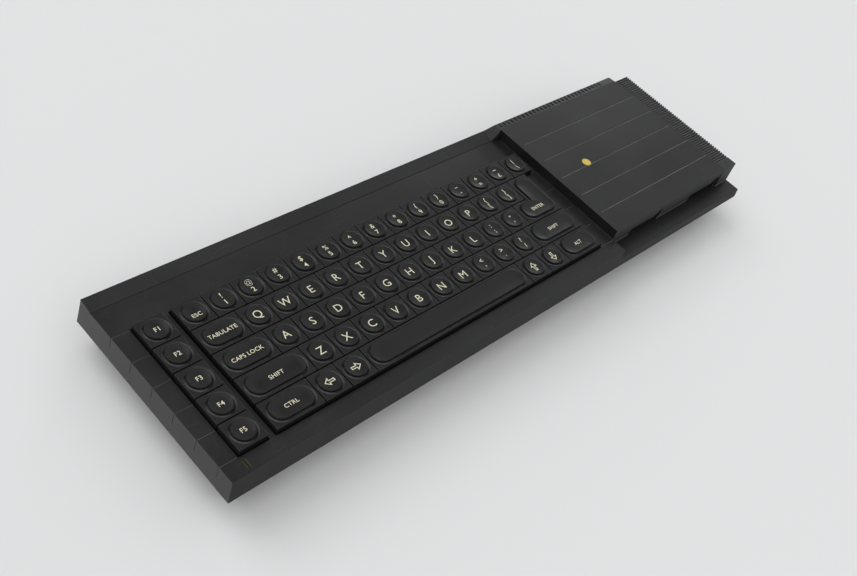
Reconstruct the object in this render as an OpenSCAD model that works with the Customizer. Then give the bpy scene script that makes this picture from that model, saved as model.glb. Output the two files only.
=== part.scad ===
// Vintage home computer: a low black case with a keyboard, and a raised block
// at the right that holds two small tape-cartridge drives.
//
// The part stands on z = 0, on four rubber feet. +X runs to the right along the
// keyboard, +Y to the rear, and the origin is under the middle of the whole part.
// Inside place(), x and y start at the front left corner of the deck instead.

/* [Case] */
// Depth of the deck behind the keys
rear_deck = 28.65; // [26:0.05:32]
// Width of the deck between the keys and the raised block
key_strip_w = 14.05; // [13.6:0.05:18]
// How far the aerial socket stands out behind the case
socket_stand = 3; // [1:0.5:5]
// How far each outer wall leans out between the deck and its foot
wall_flare = 1; // [0.5:0.1:1.5]
// Height of the outer walls, from the deck down to the parting line
wall_h = 16.2; // [15.5:0.1:17]
// Thickness of the upper case's walls
wall_t = 2.5; // [2:0.1:2.6]
// Thickness of the deck and of the block's top
deck_t = 2.2; // [1.8:0.1:2.4]
// Height of the lower case, up to the parting line
tray_h = 19; // [18.5:0.5:22]
// Thickness of the lower case's floor
floor_t = 2.2; // [1.8:0.1:2.4]
// How far the lower case's sides slope in
tray_side_slope = 11; // [8:0.5:13]
// How far the lower case's front slopes in
tray_front_slope = 10; // [7:0.5:11]
// Height of the rubber feet
foot_h = 3; // [2:0.5:5]
// Diameter of the rubber feet
foot_d = 16; // [12:1:20]

/* [Raised block] */
// Height of the block above the deck
block_rise = 7.8; // [7:0.1:9]
// Width of the block, up to the case's right edge
block_w = 150; // [144:0.5:160]
// Front face of the block, from the deck's front edge
block_y = 11.3; // [11:0.1:12.5]
// How far the block's front face leans back at its foot
block_front_lean = 1.5; // [0.5:0.1:1.8]
// How far the block's rear face leans in at its top
block_rear_lean = 3; // [1:0.1:3.4]
// How far the block's top drops towards its rear edge
rear_drop = 0.5; // [0.2:0.1:1]
// How far the deck's rear strip rises towards its rear edge
rear_rise = 2; // [1:0.1:3]
// How far the block's left side slopes out where it meets the rear strip
side_slope = 7; // [4:0.5:9]
// How far the ledge in front of the block lies below the deck
ledge_drop = 8.9; // [8:0.1:9.5]
// Width of the ribbed strip at the block's right edge
strip_w = 15.8; // [14:0.1:17]
// Depth of the step behind the ribbed strip, and place of the long line, from the deck's rear edge
rear_step = 9.4; // [8.5:0.1:11]

/* [Ribs and grooves] */
// Pitch of the ribs along the block's rear edge
rear_rib_pitch = 4.1; // [3.5:0.1:5]
// Number of grooves along the block's rear edge
rear_rib_count = 29; // [20:1:30]
// Width of each rear groove
rear_rib_gap = 1.9; // [1:0.1:2.5]
// Length of each rear groove
rear_rib_len = 4.5; // [3:0.5:8]
// Pitch of the ribs on the right strip
side_rib_pitch = 2.05; // [1.8:0.05:2.6]
// Width of each groove on the right strip
side_rib_gap = 1; // [0.6:0.1:1.4]
// Depth of the rib grooves
rib_depth = 1.1; // [0.5:0.1:1.4]
// Length of the smooth end in front of the right strip's ribs
strip_smooth = 8; // [6:1:20]
// Width of the fine lines moulded into the case
line_w = 0.5; // [0.3:0.1:0.8]
// Depth of the fine lines
line_depth = 0.4; // [0.2:0.1:0.6]

/* [Keys] */
// Distance between key centres
pitch = 18.7; // [18.5:0.05:18.75]
// Gap between neighbouring keys
key_gap = 0.8; // [0.5:0.05:0.9]
// Gap between the outer keys and the case, at the left and right of each opening
opening_side = 0.9; // [0.5:0.05:1]
// Left edge of the main keys' first cell, from the deck's left edge
keys_x = 34.8; // [34:0.1:35]
// Front edge of the front row's cells, from the deck's front edge
keys_y = 10.85; // [10.6:0.05:11]
// Centre of the function keys' column, from the deck's left edge
fkeys_x = 20.8; // [20.4:0.1:21.2]
// Height of a key's square base above the deck
key_base_rise = 3.8; // [3.4:0.1:4.2]
// Height of a key's round platform above its base
platform_rise = 1; // [0.6:0.1:1.6]
// Radius of the round platform
platform_r = 6.4; // [6:0.1:6.7]
// Outer radius of the sunk ring around the platform
bowl_r = 8.1; // [7.8:0.1:8.3]
// Depth of the sunk ring
bowl_depth = 0.8; // [0.4:0.1:1]
// Depth of the hollow in the top of the platform
dish_depth = 0.6; // [0.4:0.1:0.9]
// How far a key goes down
key_travel = 3.5; // [3:0.1:3.6]
// How far a key's skirt reaches below the deck at rest
skirt_below = 2.7; // [2.4:0.1:2.9]
// Thickness of a key's skirt
skirt_t = 1.2; // [1:0.1:1.5]
// Diameter of a key's stem
stem_d = 5.6; // [5:0.1:6]
// Clearance between a stem and its guide, on the radius
stem_clear = 0.15; // [0.1:0.05:0.3]

/* [Keyboard frame] */
// Thickness of the frame's plate
frame_t = 2; // [1.6:0.1:2.4]
// Depth of the rim under the frame's plate
frame_rim_h = 3.9; // [3.6:0.1:4.4]
// Height of the guide tubes above the plate
guide_h = 3; // [2:0.1:3.4]
// Wall of a guide tube
guide_t = 1.4; // [1:0.1:1.8]
// Thickness of the rubber mat
mat_t = 0.8; // [0.6:0.1:1]
// Height of the mat's pressed domes above the mat
dome_h = 0.4; // [0.2:0.1:0.6]
// Thickness of the contact membrane
membrane_t = 0.4; // [0.3:0.1:0.6]
// Thickness of the steel backing plate
backplate_t = 1.6; // [1:0.1:1.8]

/* [Cartridge drives] */
// Left side of the first cartridge slot, from the block's left face
slot_in = 24.5; // [22:0.5:26]
// Width of a cartridge slot
slot_w = 34; // [32:0.5:34.5]
// Right side of the second cartridge slot, from the ribbed strip
slot_end_in = 2; // [1.5:0.5:6]
// Height of a cartridge slot above the ledge
slot_h = 5.6; // [5.2:0.1:6]
// Height of the lamp's notch at the slot's right end, above the ledge
notch_h = 10.7; // [9.5:0.1:12]
// Width of the lamp's notch
notch_w = 6; // [5:0.5:8]
// Thickness of the drive's floor plate
drive_floor_t = 2.2; // [1.6:0.1:2.4]
// Length of the drive's floor plate
drive_l = 84; // [80:1:88]
// How deep a cartridge goes in, from the front of the floor plate
cartridge_depth = 43; // [42:1:46]
// Height inside the cartridge's guide rails
rail_h = 6; // [5.5:0.1:6.4]
// Thickness of the guide rails
rail_t = 2; // [1.6:0.1:2.2]
// Diameter of the drive motor
motor_d = 22; // [18:0.5:24]
// Height of the drive motor
motor_h = 12.4; // [10:0.1:13]
// Diameter of the capstan's roller
capstan_d = 11; // [9:0.5:12]
// Diameter of the motor's shaft
shaft_d = 2; // [1.6:0.1:3]
// Running clearance around the shaft, on the radius
shaft_clear = 0.05; // [0.03:0.01:0.1]

/* [Board and sockets] */
// Thickness of the main circuit board
board_t = 1.6; // [1.2:0.1:1.8]
// Height of the bosses that carry the board
boss_h = 2.2; // [2:0.1:2.4]
// Left side of the circuit board, from the deck's left edge
board_x = 18; // [17:0.5:22]
// Right side of the circuit board, from the deck's right edge
board_end_in = 18; // [17:0.5:22]
// Front side of the circuit board, from the deck's front edge
board_y = 20; // [18:0.5:24]
// Height of the rear sockets' bodies
socket_h = 11.6; // [11:0.1:12]
// Depth of the rear sockets' bodies
socket_depth = 13; // [12:0.5:14]
// Bore of the network jacks
jack_d = 3.6; // [3.5:0.1:4]
// Diameter of the reset button
reset_d = 7; // [6:0.5:8]
// How far the reset button goes in
reset_travel = 1.5; // [1:0.1:1.5]

/* [Screws and covers] */
// Diameter of a screw's shank
screw_d = 2.5; // [2:0.1:3]
// Length of a screw's shank
screw_l = 5.5; // [5:0.1:5.6]
// Diameter of a screw's head
head_d = 5; // [4.6:0.1:5]
// Height of a screw's head
head_h = 1.8; // [1.4:0.1:2]
// Diameter of the posts that take the screws
post_d = 6.4; // [6:0.1:7]
// Gap around each clip-in cover
cover_gap = 0.3; // [0.2:0.05:0.5]

/* [Hidden] */
$fn = 48;
eps = 0.01;
// Reach of a cut that has to run right through
far = 600;

// Colours
case_black = [0.15, 0.15, 0.155];
tray_black = [0.13, 0.13, 0.135];
key_black = [0.12, 0.12, 0.125];
rubber_grey = [0.22, 0.22, 0.23];
board_green = [0.12, 0.33, 0.2];
chip_black = [0.08, 0.08, 0.09];
steel = [0.7, 0.71, 0.72];

// Levels, from the floor up
parting_z = foot_h + tray_h;
deck_z = parting_z + wall_h;
top_z = deck_z + block_rise;
ledge_z = deck_z - ledge_drop;
floor_z = foot_h + floor_t;
board_z = floor_z + boss_h;
board_top = board_z + board_t;

// Plan of the case, from the deck's front left corner
short_units = 14.5;
long_units = 15;
row_count = 5;
keys_end = keys_x + short_units * pitch;
keys_rear = keys_y + row_count * pitch;
block_x = keys_end + key_strip_w;
deck_w = block_x + block_w;
deck_d = keys_rear + rear_deck;
case_d = deck_d + 2 * wall_flare;
block_rear = deck_d - block_rear_lean;
strip_x = deck_w - strip_w;
strip_end = deck_d - rear_step;

// Lower case: its top edge lies a step inside the upper case's foot
tray_step = 1;
tray_x0 = tray_step - wall_flare;
tray_rear_step = 0.2;
tray_rear = deck_d + wall_flare - tray_rear_step;
tray_wall_t = 2.4;
lip_t = 1.4;
lip_clear = 0.2;
lip_h = 2;
lip_end = 16;
tray_rear_in = deck_d - wall_t;

// Keyboard stack, from the deck down
skirt_z = deck_z - skirt_below;
key_base_z = deck_z + key_base_rise;
platform_z = key_base_z + platform_rise;
travel_room = 0.5;
frame_top = skirt_z - key_travel - travel_room;
frame_z = frame_top - frame_t;
mat_top = frame_z - frame_rim_h;
mat_z = mat_top - mat_t;
membrane_z = mat_z - membrane_t;
backplate_z = membrane_z - backplate_t;
stem_end_clear = 0.1;
stem_z = mat_top + dome_h + key_travel + stem_end_clear;

// Key rows from the front to the rear: the widths of their keys, in pitches
ones = function(n) [for (i = [1:n]) 1];
ROWS = [
    [1.75, 1, 1, 7, 1, 1, 1.75],
    concat([2.25], ones(10), [2.25]),
    concat([1.75], ones(11), [1.75]),
    concat([1.5], ones(12), [1]),
    ones(15)
];
enter_row = 2;
enter_upper_row = 3;
opening_clear = key_gap / 2;
function sum_to(v, n) = n == 0 ? 0 : v[n - 1] + sum_to(v, n - 1);
function key_x(row, i) = keys_x + pitch * (sum_to(ROWS[row], i) + ROWS[row][i] / 2);
function row_y(row) = keys_y + pitch * (row + 0.5);
function line_y(k) = keys_y + pitch * k;
function is_enter_top(row, i) = row == enter_upper_row && i == len(ROWS[row]) - 1;
space_guide_x = 45;
STEMS = concat(
    [for (r = [0:row_count - 1], i = [0:len(ROWS[r]) - 1])
        if (!is_enter_top(r, i)) [key_x(r, i), row_y(r)]],
    [for (r = [0:row_count - 1]) [fkeys_x, row_y(r)]]
);
SPACE_GUIDES = [for (s = [-1, 1]) [key_x(0, 3) + s * space_guide_x, row_y(0)]];

// Keyboard frame's plan, and the posts that hold it
frame_margin = 1.6;
frame_x0 = fkeys_x - pitch / 2 - frame_margin;
frame_side = 3;
frame_x1 = keys_x + long_units * pitch + frame_side;
frame_clear = 0.3;
frame_y0 = wall_t + lip_clear + lip_t + frame_clear;
frame_rear = 8.6;
frame_y1 = keys_rear + frame_rear;
rim_t = 1.2;
post_collar_d = 7.4;
post_fit = 0.2;
post_clear = 0.25;
kb_post_front = keys_y + opening_clear - post_collar_d / 2 - post_clear;
kb_post_rear = keys_rear + frame_rear / 2;
// Places of the posts between the main keys, in pitches from their left edge
POST_UNITS = [3, 7, 11, 14.2];
KB_POSTS = [for (x = concat([fkeys_x], [for (u = POST_UNITS) keys_x + u * pitch]),
                 y = [kb_post_front, kb_post_rear]) [x, y]];

// Posts that hold the two halves together, and the bosses under the board
corner_in = 8;
side_in = 6.4;
rear_in = 14;
end_in = 9;
REAR_POST_X = [84, 180];
CASE_POSTS = concat(
    [[side_in, corner_in], [side_in, deck_d - end_in]],
    [for (x = REAR_POST_X) [x, deck_d - rear_in]],
    [[block_x + side_in, corner_in], [deck_w - corner_in, corner_in]],
    [[deck_w - end_in, deck_d - rear_in - 1]]
);
case_post_z = parting_z - 2;
case_seat_z = case_post_z - 2.2;
tube_d = 9;
tube_bore_d = head_d + 1;
screw_fit = 0.05;
shank_hole_d = screw_d + 0.9;
board_end = deck_w - board_end_in;
board_screw_in = 14;
board_front_screw = board_y + 10;
board_rear_screw = keys_rear - 4.4;
MIDDLE_SCREW_X = [160, 300];
BOARD_SCREWS = concat(
    [for (x = [board_x + board_screw_in + 2, board_end - board_screw_in],
          y = [board_front_screw, board_rear_screw]) [x, y]],
    [for (x = MIDDLE_SCREW_X) [x, board_front_screw]]
);

// Drives
drive_front = block_y + block_front_lean + wall_t + 0.3;
drive_floor_z = ledge_z - 0.3 - drive_floor_t;
drive_floor_top = drive_floor_z + drive_floor_t;
drive_margin = 5;
rail_clear = 0.5;
rail_lip_t = 1.2;
capstan_x = 19;
capstan_y = drive_front + cartridge_depth + 9;
drive_post_in = 4;
// Distance of the drive's posts from the cartridge's stop and from the plate's rear edge
post_behind_stop = 7.4;
post_rear_in = 6.6;
DRIVE_POSTS = [drive_front + cartridge_depth + post_behind_stop, drive_front + drive_l - post_rear_in];
slot_x = block_x + slot_in;
drive_pitch = strip_x - slot_end_in - slot_w - slot_x;
lamp_d = 3;
lamp_l = 5;

// Rear sockets: centres along x
SERIAL_X = [for (i = [0:3]) 100 + 22 * i];
aerial_x = 206;
monitor_x = 246;
power_x = 276;
NETWORK_X = [298, 312];
rom_x = 54;
rom_w = 48;
socket_z = board_top + socket_h / 2;

// Puts a drawing made from the deck's front left corner into the part's frame
module place() {
    translate([-deck_w / 2, wall_flare - (case_d + socket_stand) / 2, 0]) children();
}

// A box given by its two corners
module span(a, b) {
    translate(a) cube([b[0] - a[0], b[1] - a[1], b[2] - a[2]]);
}

// An upright cylinder between two heights
module post(at, z0, z1, d) {
    translate([at[0], at[1], z0]) cylinder(h = z1 - z0, d = d);
}

// A prism along X with the outline yz
module along_x(x0, x1, yz) {
    translate([x0, 0, 0]) rotate([90, 0, 90]) linear_extrude(x1 - x0) polygon(yz);
}

// A prism along Y with the outline xz
module along_y(y0, y1, xz) {
    translate([0, y1, 0]) rotate([90, 0, 0]) linear_extrude(y1 - y0) polygon(xz);
}

// ---------------------------------------------------------------- upper case

// Outline of the block from the side; its top drops a little near its rear edge
drop_len = 5.6;
BLOCK_YZ = [
    [block_y, deck_z - 1], [deck_d, deck_z - 1], [deck_d, deck_z + rear_rise],
    [block_rear, top_z - rear_drop], [block_rear - drop_len, top_z], [block_y, top_z]
];

// Outer form of the upper case: sloping walls, the deck, the block and the ledge
module upper_outer() {
    difference() {
        union() {
            intersection() {
                along_y(-far, far, [[-wall_flare, parting_z], [deck_w + wall_flare, parting_z],
                                    [deck_w, deck_z], [deck_w, far], [0, far], [0, deck_z]]);
                // the deck is level, and its rear strip rises
                along_x(-far, far, [[-wall_flare, parting_z], [deck_d + wall_flare, parting_z],
                                    [deck_d, deck_z], [deck_d, deck_z + rear_rise],
                                    [strip_end, deck_z], [0, deck_z]]);
            }
            along_x(block_x, deck_w, BLOCK_YZ);
            // behind the long line, the block's left side slopes out to the rear strip
            intersection() {
                along_x(block_x - side_slope, block_x + eps, BLOCK_YZ);
                along_y(strip_end, far, [[block_x - side_slope, deck_z - 1], [block_x + eps, deck_z - 1],
                                         [block_x + eps, top_z], [block_x - side_slope, deck_z]]);
            }
        }
        // ledge in front of the block
        span([block_x, -far, ledge_z], [far, block_y, far]);
        // step behind the ribbed strip
        span([strip_x, strip_end, ledge_z], [far, far, far]);
        // the block's front face leans back between its ends
        along_x(block_x + 2, strip_x, [[block_y - eps, top_z - 1], [block_y - eps, ledge_z],
                                       [block_y + block_front_lean, ledge_z]]);
    }
}

// Space inside the upper case
module upper_inner() {
    in_x1 = deck_w - wall_t;
    in_y1 = deck_d - wall_t;
    block_in = block_y + block_front_lean + wall_t;
    // under the deck and the block's left wall
    span([wall_t, wall_t, -1], [block_x + eps, in_y1, deck_z - deck_t]);
    span([block_x, block_in, -1], [block_x + wall_t + eps, in_y1, deck_z - deck_t]);
    // inside the block
    span([block_x + wall_t, block_in, -1], [strip_x - wall_t, block_rear - wall_t, top_z - deck_t]);
    span([strip_x - wall_t - eps, block_in, -1], [in_x1, strip_end - wall_t, top_z - deck_t]);
    // under the ledge and under the step behind the strip
    span([block_x, wall_t, -1], [in_x1, block_in + eps, ledge_z - deck_t]);
    span([block_x, block_in, -1], [in_x1, in_y1, ledge_z - deck_t]);
}

// Openings over the keys
module key_openings() {
    c = opening_clear;
    z0 = deck_z - deck_t - 1;
    z1 = deck_z + 1;
    y1 = line_y(row_count) + c;
    s = opening_side - key_gap / 2;
    span([fkeys_x - pitch / 2 - s, keys_y - c, z0], [fkeys_x + pitch / 2 + s, y1, z1]);
    span([keys_x - s, keys_y - c, z0], [keys_x + short_units * pitch + s, y1, z1]);
    span([keys_x, line_y(row_count - 1) - c, z0], [keys_x + long_units * pitch + s, y1, z1]);
}

// One fine moulded line, cut into the surface at height z
module line_x(x0, x1, y, z) {
    span([x0, y - line_w / 2, z - line_depth], [x1, y + line_w / 2, z + 1]);
}

module fine_lines() {
    for (k = [0:row_count]) {
        line_x(-far, fkeys_x - pitch / 2 - opening_clear, line_y(k), deck_z);
        // the same line runs down the left wall
        translate([0, line_y(k), deck_z]) rotate([0, atan(wall_flare / wall_h), 0])
            span([-1, -line_w / 2, -far], [line_depth / 2, line_w / 2, 1]);
    }
    for (k = [0:row_count - 1]) line_x(keys_end + opening_clear, block_x, line_y(k), deck_z);
    for (k = [1:row_count]) line_x(block_x + 4, strip_x, line_y(k), top_z);
    line_x(-far, block_x, strip_end, deck_z);
}

// Ribs along the block's rear edge and across the strip at its right edge
module rib_grooves() {
    z = top_z - rib_depth;
    x0 = block_x + 2;
    for (i = [0:rear_rib_count - 1]) {
        x = x0 + i * rear_rib_pitch;
        span([x, deck_d - rear_rib_len - block_rear_lean, z], [x + rear_rib_gap, deck_d + 1, far]);
    }
    y0 = block_y + strip_smooth;
    for (y = [y0:side_rib_pitch:strip_end - side_rib_gap]) {
        span([strip_x + 0.6, y, z + rib_depth / 4], [far, y + side_rib_gap, far]);
    }
}

// Cartridge slots in the block's front face, each with a taller notch for its lamp
module cartridge_slots() {
    y0 = block_y - 1;
    y1 = block_y + block_front_lean + wall_t + 1;
    for (i = [0, 1]) {
        x = slot_x + i * drive_pitch;
        span([x, y0, ledge_z], [x + slot_w, y1, ledge_z + slot_h]);
        along_y(y0, y1, [[x + slot_w - notch_w, ledge_z + slot_h - eps],
                         [x + slot_w, ledge_z + slot_h - eps],
                         [x + slot_w, ledge_z + notch_h],
                         [x + slot_w - notch_w / 2, ledge_z + notch_h]]);
    }
}

reset_y = keys_rear + 1.6;
reset_z = parting_z + 7.2;
reset_fit = 0.3;
lamp_slot = [2.4, 5.6];
lamp_at = [12.3, 5.5];
sticker_at = [block_x + 34.7, block_y + 58.4];
sticker_d = 7;
sticker_t = 0.15;

module upper_case() color(case_black) place() {
    difference() {
        union() {
            difference() {
                upper_outer();
                upper_inner();
            }
            // posts for the keyboard, the case screws and the drives
            for (p = KB_POSTS) {
                post(p, frame_top, deck_z - deck_t + eps, post_collar_d);
                post(p, membrane_z, frame_top + eps, post_d);
            }
            for (p = CASE_POSTS) {
                level = p[0] < block_x ? deck_z : p[1] < block_y ? ledge_z : top_z;
                post(p, case_post_z, level - deck_t + eps, post_d);
            }
            for (p = drive_posts()) post(p, drive_floor_top, top_z - deck_t + eps, post_d);
        }
        key_openings();
        fine_lines();
        rib_grooves();
        cartridge_slots();
        for (p = KB_POSTS) pilot(p, membrane_z);
        for (p = CASE_POSTS) pilot(p, case_post_z);
        for (p = drive_posts()) pilot(p, drive_floor_top);
        // hole for the power lamp, recess for the sticker, hole for the reset button
        translate([lamp_at[0], lamp_at[1], deck_z]) cube([lamp_slot[0], lamp_slot[1], 10], center = true);
        translate([sticker_at[0], sticker_at[1], top_z - sticker_t]) cylinder(h = 1, d = sticker_d);
        translate([deck_w - 5, reset_y, reset_z]) rotate([0, 90, 0])
            cylinder(h = 10, d = reset_d + 2 * reset_fit);
    }
}

// Blind hole for a screw, upwards from height z
module pilot(at, z) {
    post(at, z - 1, z + screw_l + 0.4, screw_d + 2 * screw_fit);
}

// The two sides of a drive's screws, from its slot's left side, and all the drives' posts
DRIVE_POST_X = [drive_post_in - drive_margin, slot_w + drive_margin - drive_post_in];
function drive_posts() = [for (i = [0, 1], y = DRIVE_POSTS, x = DRIVE_POST_X)
    [slot_x + i * drive_pitch + x, y]];

// ---------------------------------------------------------------- lower case

// Outline of the tray across and along, with its walls moved in by g at top and bottom
function tray_xz(g_top, g_low, z0, z1) = [
    [tray_x0 + g_top, z1], [tray_x0 + tray_side_slope + g_low, z0],
    [deck_w - tray_x0 - tray_side_slope - g_low, z0], [deck_w - tray_x0 - g_top, z1]];
function tray_yz(g_top, g_low, rear, z0, z1) = [
    [tray_x0 + g_top, z1], [tray_x0 + tray_front_slope + g_low, z0], [rear, z0], [rear, z1]];

module tray_outer() {
    intersection() {
        along_y(-far, far, tray_xz(0, 0, foot_h, parting_z));
        along_x(-far, far, tray_yz(0, 0, tray_rear, foot_h, parting_z));
    }
}

module tray_inner() {
    g = wall_t + lip_clear + lip_t - tray_x0;
    intersection() {
        along_y(-far, far, tray_xz(g, tray_wall_t, floor_z, parting_z + eps));
        along_x(-far, far, tray_yz(g, tray_wall_t, tray_rear_in, floor_z, parting_z + eps));
    }
}

// Rim that stands up inside the upper case's walls, at the front and the sides
module tray_lip() {
    o = wall_t + lip_clear;
    i = o + lip_t;
    difference() {
        span([o, o, parting_z - 1], [deck_w - o, deck_d - lip_end, parting_z + lip_h]);
        span([i, i, 0], [deck_w - i, far, far]);
    }
}

cover_z0 = foot_h + 5.5;
cover_z1 = parting_z - 2;
left_cover_y = [line_y(0) + 3, line_y(row_count)];
right_cover_y = [board_y + 10, board_y + 54];
rom_cover_z = [board_top + 0.6, board_top + socket_h - 0.6];

// The room that each clip-in cover takes up, g wider on every side
module left_cover_room(g) {
    span([-far, left_cover_y[0] - g, cover_z0 - g], [board_x + 8, left_cover_y[1] + g, cover_z1 + g]);
}
module right_cover_room(g) {
    span([board_end, right_cover_y[0] - g, cover_z0 - g], [far, right_cover_y[1] + g, cover_z1 + g]);
}
module rom_cover_room(g) {
    span([rom_x - rom_w / 2 - g, tray_rear_in - 1, rom_cover_z[0] - g],
         [rom_x + rom_w / 2 + g, far, rom_cover_z[1] + g]);
}

// Cut-outs in the rear wall for the sockets
module socket_cuts() {
    c = 0.3;
    y0 = tray_rear_in - 1;
    for (x = SERIAL_X) span([x - serial_w / 2 - c, y0, board_top - c],
                            [x + serial_w / 2 + c, far, board_top + socket_h + c]);
    span([power_x - power_w / 2 - c, y0, board_top - c],
         [power_x + power_w / 2 + c, far, board_top + socket_h + c]);
    for (x = NETWORK_X) rear_hole(x, jack_collar_d + 2 * c);
    rear_hole(monitor_x, monitor_d + 2 * c);
    rear_hole(aerial_x, phono_d + 2 * c);
}

module rear_hole(x, d) {
    translate([x, tray_rear_in - 1, socket_z]) rotate([-90, 0, 0]) cylinder(h = socket_depth, d = d);
}

serial_w = 14;
power_w = 17;
jack_collar_d = 8;
monitor_d = 11.4;
phono_d = 8.4;

module lower_case() color(tray_black) place() {
    difference() {
        union() {
            difference() {
                tray_outer();
                tray_inner();
            }
            tray_lip();
            intersection() {
                tray_outer();
                for (p = CASE_POSTS) post(p, foot_h, case_post_z, tube_d);
            }
            for (p = BOARD_SCREWS) post(p, floor_z - eps, board_z, post_d);
        }
        for (p = CASE_POSTS) {
            post(p, -1, case_seat_z, tube_bore_d);
            post(p, -1, far, shank_hole_d);
            post(p, case_post_z, far, post_d + 2 * post_fit);
        }
        for (p = BOARD_SCREWS) post(p, board_top - screw_l - 0.1, far, screw_d + 2 * screw_fit);
        left_cover_room(cover_gap);
        right_cover_room(cover_gap);
        rom_cover_room(cover_gap);
        socket_cuts();
    }
}

// Clip-in covers over the expansion openings: the piece of wall that fills each one
module wall_piece() {
    difference() {
        tray_outer();
        tray_inner();
    }
}
module left_cover() color(tray_black) place() intersection() {
    wall_piece();
    left_cover_room(0);
}
module right_cover() color(tray_black) place() intersection() {
    wall_piece();
    right_cover_room(0);
}
module rom_cover() color(tray_black) place() intersection() {
    wall_piece();
    rom_cover_room(0);
}

foot_in = 26;
module rubber_feet() color(rubber_grey) place() {
    for (x = [foot_in, deck_w - foot_in], y = [foot_in, tray_rear - foot_in + foot_d / 2])
        translate([x, y, 0]) {
            cylinder(h = 1, d1 = foot_d - 1.5, d2 = foot_d);
            translate([0, 0, 1 - eps]) cylinder(h = foot_h - 1 + eps, d = foot_d);
        }
}

// A cross-head screw; its seat is at z and its shank points up or down
module screw(at, z, up) {
    s = up ? 1 : -1;
    translate([at[0], at[1], z]) mirror([0, 0, up ? 0 : 1]) difference() {
        union() {
            translate([0, 0, -eps]) cylinder(h = screw_l + eps, d = screw_d);
            translate([0, 0, -head_h]) cylinder(h = head_h, d = head_d);
        }
        for (a = [0, 90]) rotate([0, 0, a]) translate([0, 0, -head_h])
            cube([head_d * 0.55, 0.7, 1.6], center = true);
    }
}

module screws() color(steel) place() {
    for (p = CASE_POSTS) screw(p, case_seat_z, true);
    for (p = KB_POSTS) screw(p, backplate_z, true);
    for (p = drive_posts()) screw(p, drive_floor_z, true);
    for (p = BOARD_SCREWS) screw(p, board_top, false);
}

// ------------------------------------------------------------------ keyboard

// Plan shared by the frame, the mat, the membrane and the backing plate, with post holes
module sheet_plan(z0, z1, hole_d) {
    difference() {
        span([frame_x0, frame_y0, z0], [frame_x1, frame_y1, z1]);
        for (p = KB_POSTS) post(p, z0 - 1, z1 + 1, hole_d);
    }
}

module keyboard_frame() color(chip_black) place() {
    bore = stem_d + 2 * stem_clear;
    hole = post_d + 2 * post_fit;
    difference() {
        union() {
            sheet_plan(frame_z, frame_top, hole);
            difference() {
                sheet_plan(mat_top, frame_z + eps, hole);
                span([frame_x0 + rim_t, frame_y0 + rim_t, 0], [frame_x1 - rim_t, frame_y1 - rim_t, far]);
            }
            for (p = concat(STEMS, SPACE_GUIDES)) post(p, frame_z, frame_top + guide_h, bore + 2 * guide_t);
        }
        for (p = concat(STEMS, SPACE_GUIDES)) post(p, frame_z - 1, far, bore);
    }
}

dome_d = 7;
module rubber_mat() color(rubber_grey) place() {
    sheet_plan(mat_z, mat_top, post_d + 2 * post_fit);
    for (p = STEMS) post(p, mat_top - eps, mat_top + dome_h, dome_d);
}

module membrane() color([0.75, 0.78, 0.8]) place() {
    sheet_plan(membrane_z, mat_z, post_d + 2 * post_fit);
}

module keyboard_backplate() color(steel) place() {
    sheet_plan(backplate_z, membrane_z, shank_hole_d);
}

tail_w = 20;
tail_t = 0.3;
tail_y = frame_y1 + 3;
TAIL_X = [120, 278];
tail_socket_h = 6;
module keyboard_tails() color([0.7, 0.72, 0.74]) place() {
    for (x = TAIL_X) {
        z0 = membrane_z;
        along_x(x - tail_w / 2, x + tail_w / 2, [
            [frame_y1, z0], [tail_y, z0], [tail_y, board_top + 2], [tail_y + tail_t, board_top + 2],
            [tail_y + tail_t, z0 + tail_t], [frame_y1, z0 + tail_t]]);
    }
}

// Round platform shapes: each runs from a to b, which may be the same point
module run(a, b) {
    l = norm(b - a);
    translate([a[0], a[1], 0]) rotate([0, 0, atan2(b[1] - a[1], b[0] - a[0])]) {
        children(0);
        if (l > 0) {
            translate([l, 0, 0]) children(0);
            rotate([90, 0, 90]) linear_extrude(l) children(1);
        }
    }
}

// The ring's outer side falls this many times as far inwards as it goes down
bowl_slope = 2;
module bowl_run(a, b) {
    foot_r = bowl_r - bowl_slope * bowl_depth;
    z0 = key_base_z - bowl_depth;
    run(a, b) {
        translate([0, 0, z0]) cylinder(h = bowl_depth + eps, r1 = foot_r, r2 = bowl_r + eps);
        polygon([[-foot_r, z0], [foot_r, z0],
                 [bowl_r + eps, key_base_z + eps], [-bowl_r - eps, key_base_z + eps]]);
    }
}

module platform_run(a, b) {
    z0 = key_base_z - bowl_depth - eps;
    run(a, b) {
        translate([0, 0, z0]) cylinder(h = platform_z - z0, r = platform_r);
        polygon([[-platform_r, z0], [platform_r, z0], [platform_r, platform_z], [-platform_r, platform_z]]);
    }
}

// The dish is a ball's cap, or a ball drawn along a straight line
dish_edge_r = platform_r - 0.4;
dish_ball_r = (dish_edge_r * dish_edge_r + dish_depth * dish_depth) / (2 * dish_depth);
module dish_run(a, b) {
    z = platform_z - dish_depth + dish_ball_r;
    run(a, b) {
        translate([0, 0, z]) sphere(r = dish_ball_r, $fn = 96);
        translate([0, z]) intersection() {
            circle(r = dish_ball_r, $fn = 96);
            translate([-bowl_r, -dish_ball_r - 1]) square([2 * bowl_r, 4]);
        }
    }
}

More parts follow.
